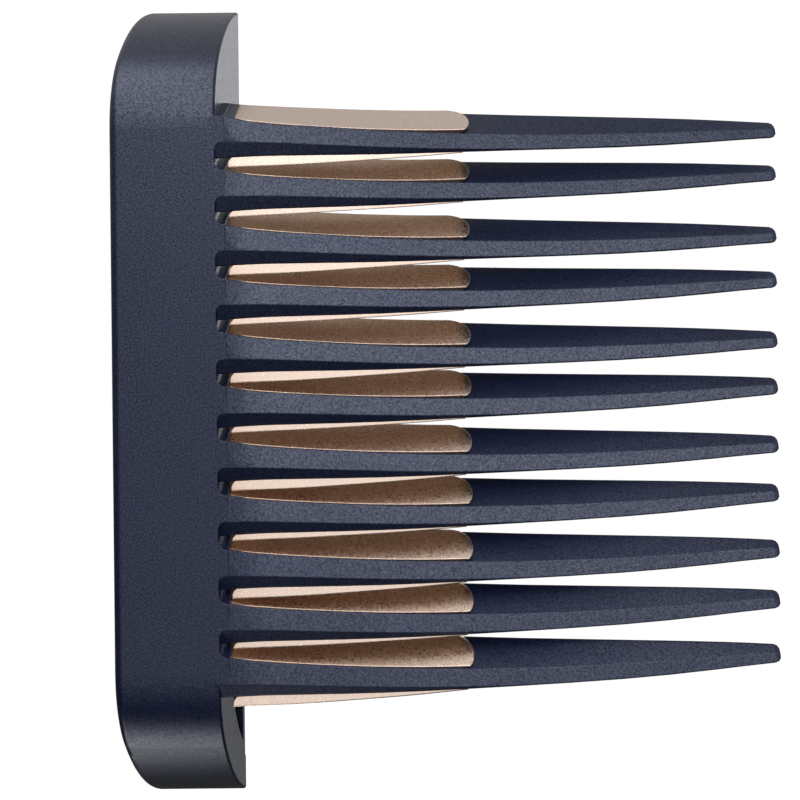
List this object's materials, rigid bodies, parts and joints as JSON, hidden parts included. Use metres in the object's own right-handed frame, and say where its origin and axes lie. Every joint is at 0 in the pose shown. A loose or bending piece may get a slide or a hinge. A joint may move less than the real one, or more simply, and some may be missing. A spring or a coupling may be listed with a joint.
{
  "type": "heated wide-tooth comb attachment",
  "caption": "Wide-tooth comb head on a D-shaped duct collar, its slanted teeth faced on both sides with bronze-coloured metal plates near the root.",
  "frame": {"origin": "centre of the collar's mouth, on the surface the comb stands on", "axes": "+X along the row of teeth from the closed end of the duct to the other, +Y from the flat front face to the back cover, +Z along the teeth towards their tips"},
  "size_m": [0.09, 0.016, 0.0682],
  "materials": {
    "navy_moulding": "fine-textured soft-touch navy",
    "navy_liner": "plain moulded navy",
    "navy_cover": "fine-textured soft-touch navy",
    "bronze_plate": "bronze-anodised with a fine sparkle",
    "screw_steel": "dark zinc"
  },
  "bodies": {
    "root": {"comb_frame": "navy_moulding", "duct_liner": "navy_liner", "back_cover": "navy_cover", "cover_screws": "screw_steel", "side_plate_01": "bronze_plate", "side_plate_02": "bronze_plate", "side_plate_03": "bronze_plate", "side_plate_04": "bronze_plate", "side_plate_05": "bronze_plate", "side_plate_06": "bronze_plate", "side_plate_07": "bronze_plate", "side_plate_08": "bronze_plate", "side_plate_09": "bronze_plate", "side_plate_10": "bronze_plate", "side_plate_11": "bronze_plate", "edge_plate_01": "bronze_plate", "edge_plate_02": "bronze_plate", "edge_plate_03": "bronze_plate", "edge_plate_04": "bronze_plate", "edge_plate_05": "bronze_plate", "edge_plate_06": "bronze_plate", "edge_plate_07": "bronze_plate", "edge_plate_08": "bronze_plate", "edge_plate_09": "bronze_plate", "edge_plate_10": "bronze_plate", "edge_plate_11": "bronze_plate"}
  },
  "joints": []
}
